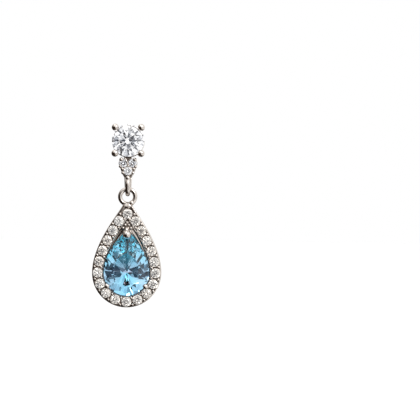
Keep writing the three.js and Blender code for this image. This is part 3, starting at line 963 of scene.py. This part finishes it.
def band_line(edge, inwards):
    """The edge moved inwards; where it would cross the middle it stays at the crossing."""
    line = []
    for i, point in enumerate(edge):
        before, after = edge[max(i - 1, 0)], edge[min(i + 1, len(edge) - 1)]
        along = (after - before).normalized()
        moved = Vector((point.x - along.y * inwards, point.y + along.x * inwards))
        if i == 0:
            moved.x = 0
        elif moved.x <= 0:
            moved = crossing(line[-1], moved)
        line.append(moved)
    return line


# The band's section from the outer wall's back round the front to the inner wall's back:
# across the band from its outer edge, and back from its front, in millimetres
BAND_SECTION = [
    {"across": 0.22, "back": 1.70},
    {"across": 0.10, "back": 1.70},
    {"across": 0.02, "back": 1.66},
    {"across": 0.00, "back": 1.55},
    {"across": 0.00, "back": 0.12},
    {"across": 0.02, "back": 0.04},
    {"across": 0.07, "back": 0.00},
    {"across": 0.17, "back": 0.00},
    {"across": 0.22, "back": 0.05},
    {"across": 0.27, "back": 0.24},
    {"across": 0.88, "back": 0.27},
    {"across": 1.48, "back": 0.24},
    {"across": 1.54, "back": 0.06},
    {"across": 1.60, "back": 0.01},
    {"across": 1.68, "back": 0.01},
    {"across": 1.73, "back": 0.05},
    {"across": 1.75, "back": 0.15},
    {"across": 1.75, "back": 1.60},
    {"across": 1.68, "back": 1.70},
    {"across": 1.56, "back": 1.70},
]


def band_body(edge):
    lines = [band_line(edge, row["across"] * MM) for row in BAND_SECTION]
    depths = [BAND_FRONT_Y + row["back"] * MM for row in BAND_SECTION]
    last = len(edge)
    stations = [(i, 1) for i in range(last)] + [(i, -1) for i in range(last - 1, 0, -1)]
    points = []
    for i, side in stations:
        for line, depth in zip(lines, depths):
            points.append(Vector((side * line[i].x, depth, line[i].y + BAND_CENTRE_Z)))
    return points, grid_faces(len(stations), len(BAND_SECTION), True)


def spaced(route, count):
    """Points at equal distances along a route of 2D points, both ends included."""
    lengths = [0.0]
    for a, b in zip(route, route[1:]):
        lengths.append(lengths[-1] + (b - a).length)
    result = []
    for i in range(count + 1):
        target = lengths[-1] * i / count
        k = 0
        while lengths[k + 1] <= 0 or lengths[k + 1] < target * (1 - LENGTH_ROUNDING):
            k += 1
        share = (target - lengths[k]) / (lengths[k + 1] - lengths[k])
        result.append(route[k].lerp(route[k + 1], min(share, 1)))
    return result


def pave_route(edge):
    """Half the line of the stones' centres, from the top stone down the right arm to the bottom."""
    height = BAND_TOP_Z - BAND_CENTRE_Z
    middle = [p for p in band_line(edge, BAND_WIDTH / 2) if p.y < height - PAVE_ARM_DROP]
    top = Vector((0, height - PAVE_TOP_DROP))
    return [top, *reversed(middle)]


def pave_centres(edge):
    right = spaced(pave_route(edge), PAVE_COUNT // 2)
    left = [Vector((-p.x, p.y)) for p in right[1:-1]]
    return [Vector((p.x, p.y + BAND_CENTRE_Z)) for p in right + left]


def pave_bead_places(edge):
    """Two beads in each gap between neighbouring stones, one near each edge of the band."""
    halves = spaced(pave_route(edge), PAVE_COUNT)
    places = []
    for i in range(1, PAVE_COUNT, 2):
        along = (halves[i + 1] - halves[i - 1]).normalized()
        across = Vector((-along.y, along.x))
        for side in (-1, 1):
            place = halves[i] + across * side * PAVE_BEAD_SPREAD
            places += [place, Vector((-place.x, place.y))]
    return [Vector((p.x, p.y + BAND_CENTRE_Z)) for p in places]


def pear_edge():
    height = PEAR_HIGH.z - PEAR_CENTRE_Z
    return teardrop(PEAR_RADIUS, height, PEAR_SHOULDER, PEAR_TIP, PEAR_STEPS, PEAR_STEPS)


def both_sides(half):
    """A closed line from its right half, which starts and ends in the middle."""
    return half + [Vector((-p.x, p.y)) for p in reversed(half[1:-1])]


def inner_wall(edge):
    """The band's inner wall, a little inside the metal, where the rail and the patch take root."""
    return band_line(edge, BAND_WIDTH - WALL_SINK)


def gallery(edge):
    """The rounded rail behind the pear stone's girdle, from the band's inner wall inwards."""
    stone_edge = pear_edge()
    count = len(stone_edge) - 1
    wall = inner_wall(edge)
    closing = next(i for i, p in enumerate(wall) if i > 0 and p.x == 0)
    outer = spaced(wall[:closing + 1], count)
    inner = spaced(band_line(stone_edge, GALLERY_OVERLAP), count)
    outer[-1].x, inner[-1].x = 0, 0
    back = BAND_BACK_Y - GALLERY_SETBACK
    turns = [math.pi * i / GALLERY_STEPS for i in range(GALLERY_STEPS + 1)]
    points = []
    for out, into in zip(both_sides(outer), both_sides(inner)):
        section = [(out, back)]
        for turn in turns:
            depth = PEAR_GIRDLE_Y + GALLERY_DEPTH + GALLERY_ROUNDING * (1 - math.sin(turn))
            section.append((out.lerp(into, (1 - math.cos(turn)) / 2), depth))
        section.append((into, back))
        points += [Vector((p.x, depth, p.y + BAND_CENTRE_Z)) for p, depth in section]
    return points, grid_faces(2 * count, len(turns) + 2, True)


def hanging_ring():
    circle = circle_points(LOOP_STEPS)
    route = [Vector((RING_RADIUS * c, SWING_Y, RING_Z + RING_RADIUS * s)) for c, s in circle]
    return wire(route, [RING_WIRE] * LOOP_STEPS, closed=True)


def ring_seam():
    """The small lump where the ring was closed."""
    across, up = math.cos(SEAM_ANGLE), math.sin(SEAM_ANGLE)
    place = Vector((RING_RADIUS * across, SWING_Y - SEAM_RISE, RING_Z + RING_RADIUS * up))
    return ball(place, SEAM_RADIUS, flatness=SEAM_FLATNESS, sides=SEAM_SIDES)


# The neck between ring and band, from the ring downwards: above the band's top, and half its width
NECK_STATIONS = [
    {"above": 0.44, "half_width": 0.30},
    {"above": 0.40, "half_width": 0.50},
    {"above": 0.30, "half_width": 0.64},
    {"above": 0.15, "half_width": 0.75},
    {"above": -0.02, "half_width": 0.81},
    {"above": -0.20, "half_width": 0.82},
    {"above": -0.33, "half_width": 0.76},
    {"above": -0.42, "half_width": 0.60},
    {"above": -0.47, "half_width": 0.36},
]
NECK_FLATNESS = 0.58


def neck():
    route = [Vector((0, SWING_Y, BAND_TOP_Z + row["above"] * MM)) for row in NECK_STATIONS]
    points, faces = wire(route, [row["half_width"] * MM for row in NECK_STATIONS], sides=NECK_SIDES)
    for point in points:
        point.y = SWING_Y + (point.y - SWING_Y) * NECK_FLATNESS
    return points, faces


def patch(edge):
    """Plain metal that closes the band's inner point above the top claw, just below its front."""
    low = PATCH_Z - BAND_CENTRE_Z
    side = [p for p in inner_wall(edge) if p.y > low and p.x > 0]
    half = [Vector((side[0].x, low)), *side]
    outline = [(p.x, p.y + BAND_CENTRE_Z) for p in half]
    outline += [(-x, z) for x, z in reversed(outline)]
    return slab(outline, PEAR_GIRDLE_Y + PATCH_DEPTH, BAND_FRONT_Y + PATCH_SETBACK, PATCH_EDGE)


def pear_claw(ball_place, root, radius):
    middle = Vector((root.x, (root.y + ball_place.y) / 2, root.z))
    return claw_with_ball([root, middle, ball_place], PEAR_CLAW_WIRE, radius)


def pear_claws():
    """One claw over the pear stone's tip and one on each side of its foot."""
    root_y = BAND_FRONT_Y + PEAR_CLAW_ROOT
    top_place = Vector((0, PEAR_GIRDLE_Y - TOP_CLAW_RISE, PEAR_HIGH.z - TOP_CLAW_DROP))
    claws = [pear_claw(top_place, Vector((0, root_y, PATCH_Z + TOP_CLAW_ROOT_RISE)), TOP_CLAW)]
    reach, root_reach = PEAR_RADIUS + SIDE_CLAW_REACH, PEAR_RADIUS + SIDE_CLAW_ROOT_REACH
    for side in (-1, 1):
        across, down = side * math.cos(SIDE_CLAW_ANGLE), -math.sin(SIDE_CLAW_ANGLE)
        place = Vector((across * reach, PEAR_GIRDLE_Y - SIDE_CLAW_RISE, PEAR_CENTRE_Z + down * reach))
        root = Vector((across * root_reach, root_y, PEAR_CENTRE_Z + down * root_reach))
        claws.append(pear_claw(place, root, SIDE_CLAW))
    return claws


def drop_metal(edge):
    centres = pave_centres(edge)
    girdle_y = BAND_FRONT_Y + PAVE_GIRDLE_DEPTH
    seats = [seat(PAVE_RADIUS, p.x, girdle_y, BAND_BACK_Y, p.y) for p in centres]
    cups = [cup(PAVE_RADIUS, PAVE_RIM, p.x, girdle_y, p.y) for p in centres]
    return piece("drop_casting",
                 [carved(band_body(edge), seats), *cups, gallery(edge), hanging_ring(), ring_seam(), neck(),
                  patch(edge), *pear_claws()], SILVER)


def pave_stones(edge):
    girdle_y = BAND_FRONT_Y + PAVE_GIRDLE_DEPTH
    seats = [(p.x, girdle_y, p.y) for p in pave_centres(edge)]
    form = brilliant("pave_stone", 2 * PAVE_RADIUS, PAVE_SIDES)
    return set_on_seats("pave_stones", seats, form, PAVED, turn=PAVE_TURN, tilt=PAVE_TILT, seed=PAVE_SEED)


# Beads on the patch between the top stones and the top claw: across, and down from the band's top,
# in millimetres
PATCH_BEADS = [
    {"across": 0.00, "down": 2.55},
    {"across": -0.27, "down": 2.92},
    {"across": 0.27, "down": 2.92},
    {"across": -0.60, "down": 3.40},
    {"across": 0.60, "down": 3.40},
]


def pave_beads(edge):
    seats = [(p.x, BAND_FRONT_Y, p.y) for p in pave_bead_places(edge)]
    seats += [(bead["across"] * MM, BAND_FRONT_Y, BAND_TOP_Z - bead["down"] * MM) for bead in PATCH_BEADS]
    return set_on_seats("pave_beads", seats, bead_form(PAVE_BEAD), SILVER)


# Studio

FLOOR_HALF = 3.0
FLOOR_DROP = 30 * MM

# Lights: where each stands, its width and height, its brightness and its colour
SOFTBOXES = [
    {"name": "key_softbox", "place": (0.20, -0.26, 0.20), "width": 0.13, "height": 0.13,
     "brightness": 7.0, "colour": (1.0, 0.98, 0.95)},
    {"name": "top_softbox", "place": (-0.04, -0.08, 0.30), "width": 0.14, "height": 0.10,
     "brightness": 3.0, "colour": (1.0, 1.0, 1.0)},
]

# What dull surfaces receive from the room, and what lies behind the earring
ROOM_LIGHT = (1.15, 1.15, 1.15)
BACKDROP = (1.0, 1.0, 1.0)


def floor():
    level = CAD_LOW.z - FLOOR_DROP
    corners = [(x * FLOOR_HALF, y * FLOOR_HALF, level) for x, y in ((-1, -1), (1, -1), (1, 1), (-1, 1))]
    mesh = bpy.data.meshes.new("floor")
    mesh.from_pydata(corners, [], [(0, 1, 2, 3)])
    mesh.materials.append(white_floor())
    made = link(bpy.data.objects.new("floor", mesh))
    made.visible_glossy = False
    made.visible_transmission = False


def softbox(name, place, width, height, brightness, colour):
    light = bpy.data.lights.new(name, "AREA")
    light.shape = "RECTANGLE"
    light.size, light.size_y = width, height
    light.energy = brightness * math.pi * width * height
    light.color = colour
    lamp = link(bpy.data.objects.new(name, light))
    lamp.location = place
    target = Vector((0, SWING_Y, (CAD_LOW.z + CAD_HIGH.z) / 2))
    lamp.rotation_euler = (target - Vector(place)).to_track_quat("-Z", "Y").to_euler()


def lights():
    for box in SOFTBOXES:
        softbox(**box)


def nearness(nodes, links, direction, aim):
    """The cosine of the angle between a direction and an aim."""
    dot = nodes.new("ShaderNodeVectorMath")
    dot.operation = "DOT_PRODUCT"
    dot.inputs[1].default_value = Vector(aim).normalized()
    links.new(direction, dot.inputs[0])
    return dot.outputs["Value"]


def towards(nodes, links, direction, aim, inner, outer):
    """1 within the inner angle of the aim, 0 beyond the outer angle, soft between them."""
    outer_cosine, inner_cosine = math.cos(math.radians(outer)), math.cos(math.radians(inner))
    return spread(nodes, links, nearness(nodes, links, direction, aim), outer_cosine, inner_cosine, 0, 1)


# What the polished metal sees, from the side away from the light to the side of the light
ROOM = [
    (0.00, (0.03, 0.02, 0.015)),
    (0.26, (0.05, 0.038, 0.030)),
    (0.36, (0.24, 0.21, 0.185)),
    (0.46, (0.42, 0.38, 0.35)),
    (0.55, (0.80, 0.77, 0.74)),
    (0.66, (1.10, 1.08, 1.05)),
    (0.80, (0.72, 0.69, 0.66)),
    (1.00, (1.20, 1.18, 1.15)),
]
LIGHT_SIDE = (0.70, -0.32, 0.64)

# Dark things in the room: where they are, and the angles over which each fades out
DARK_THINGS = [
    {"aim": (-0.50, -1.0, -0.34), "inner": 30, "outer": 38},
    {"aim": (0.25, -0.45, -0.9), "inner": 10, "outer": 20},
    {"aim": (0.85, -0.5, -0.15), "inner": 4, "outer": 10},
]
DARK = (0.02, 0.012, 0.008)
BACK_WINDOW = {"aim": (-0.35, 1.0, 0.55), "inner": 18, "outer": 42}
WINDOW = (0.95, 0.93, 0.90)

# What the stones see: patches of these shades, moved down the ramp on the side away from the light
STONE_ROOM = [
    (0.37, (0.03, 0.028, 0.03)),
    (0.44, (0.27, 0.28, 0.31)),
    (0.48, (0.88, 0.90, 0.94)),
    (0.58, (1.40, 1.39, 1.37)),
]
STONE_PATCHES = 2.6
STONE_SHIFT = (-0.13, 0.07)

# The dark straight in front, which the stones' steep facets throw back
DARK_FRONT = {"aim": (0, -1, 0), "inner": 9, "outer": 17}
DARK_FRONT_COLOUR = (0.10, 0.11, 0.13)


def lit_side(nodes, links, direction, low, high):
    """Rises from low on the side away from the light to high on the side of the light."""
    return spread(nodes, links, nearness(nodes, links, direction, LIGHT_SIDE), -1, 1, low, high)


def metal_surroundings(nodes, links, direction):
    seen = ramp(nodes, links, lit_side(nodes, links, direction, 0, 1), ROOM)
    for thing in DARK_THINGS:
        share = towards(nodes, links, direction, **thing)
        seen = blend(nodes, links, share, seen, DARK)
    share = towards(nodes, links, direction, **BACK_WINDOW)
    return blend(nodes, links, share, seen, WINDOW)


def stone_surroundings(nodes, links, direction):
    """The stones see a bright room with grey-blue patches, fewer of them on the side of the light."""
    patches = nodes.new("ShaderNodeTexNoise")
    patches.inputs["Scale"].default_value = STONE_PATCHES
    patches.inputs["Detail"].default_value = 3
    links.new(direction, patches.inputs["Vector"])
    total = nodes.new("ShaderNodeMath")
    links.new(patches.outputs["Fac"], total.inputs[0])
    links.new(lit_side(nodes, links, direction, *STONE_SHIFT), total.inputs[1])
    room = ramp(nodes, links, total.outputs["Value"], STONE_ROOM)
    share = towards(nodes, links, direction, **DARK_FRONT)
    return blend(nodes, links, share, room, DARK_FRONT_COLOUR)


def studio_world():
    """White to the camera and on the floor; metal and stones each see their own part of the room."""
    world = bpy.data.worlds.new("studio")
    bpy.context.scene.world = world
    world.use_nodes = True
    nodes, links = world.node_tree.nodes, world.node_tree.links
    direction = nodes.new("ShaderNodeTexCoord").outputs["Generated"]
    ray = nodes.new("ShaderNodeLightPath")
    metal = metal_surroundings(nodes, links, direction)
    stones = stone_surroundings(nodes, links, direction)
    seen = blend(nodes, links, ray.outputs["Is Transmission Ray"], metal, stones)
    seen = blend(nodes, links, ray.outputs["Is Diffuse Ray"], seen, ROOM_LIGHT)
    seen = blend(nodes, links, ray.outputs["Is Camera Ray"], seen, BACKDROP)
    links.new(seen, nodes["Background"].inputs["Color"])


def camera():
    """Straight at the front, at the photograph's scale, with the slight lean that the earring has there."""
    right = Vector((math.cos(LEAN), 0, math.sin(LEAN)))
    up = Vector((-math.sin(LEAN), 0, math.cos(LEAN)))
    middle = PHOTO_PIXELS / 2
    across = (middle - STUD_STONE_PIXEL[0]) * MM_PER_PIXEL * MM
    down = (middle - STUD_STONE_PIXEL[1]) * MM_PER_PIXEL * MM
    frame_width = PHOTO_PIXELS * MM_PER_PIXEL * MM
    distance = frame_width * LENS_MM / SENSOR_MM
    data = bpy.data.cameras.new("camera")
    data.lens = LENS_MM
    data.sensor_width = SENSOR_MM
    data.clip_start = CLIP_NEAR
    data.clip_end = CLIP_FAR
    made = link(bpy.data.objects.new("camera", data))
    made.location = Vector((0, STUD_GIRDLE_Y - distance, 0)) + right * across - up * down
    back = Vector((0, -1, 0))
    made.rotation_euler = Matrix((right, up, back)).transposed().to_euler()
    bpy.context.scene.camera = made
    bpy.context.scene.view_settings.view_transform = "Standard"


def ride_and_slot(made, body, slot, *replaced):
    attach(made, body)
    if replaced:
        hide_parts(*replaced)


def repaint(node, finish):
    mesh = frame["nodes"][node].data
    mesh.materials.clear()
    mesh.materials.append(finish)


def light_paths():
    """Light may cross the stones' facets many times before it comes out."""
    paths = bpy.context.scene.cycles
    paths.max_bounces = LIGHT_BOUNCES
    paths.glossy_bounces = MIRROR_BOUNCES
    paths.transmission_bounces = LIGHT_BOUNCES


def main():
    light_paths()
    camera()
    floor()
    lights()
    studio_world()
    edge = band_edge()
    ride_and_slot(stud_metal(), "stud", "silver", "stud_setting")
    ride_and_slot(cluster_beads(), "stud", "silver")
    ride_and_slot(post_metal(), "stud", "silver", "ear_post")
    ride_and_slot(drop_metal(edge), "drop", "silver", "halo_frame")
    ride_and_slot(pave_beads(edge), "drop", "silver")
    ride_and_slot(pave_stones(edge), "drop", "clear_stone")
    for node in ("round_stone", "cluster_stone_left", "cluster_stone_right", "cluster_stone_bottom"):
        repaint(node, CLEAR)
    repaint("pear_stone", BLUE)


main()
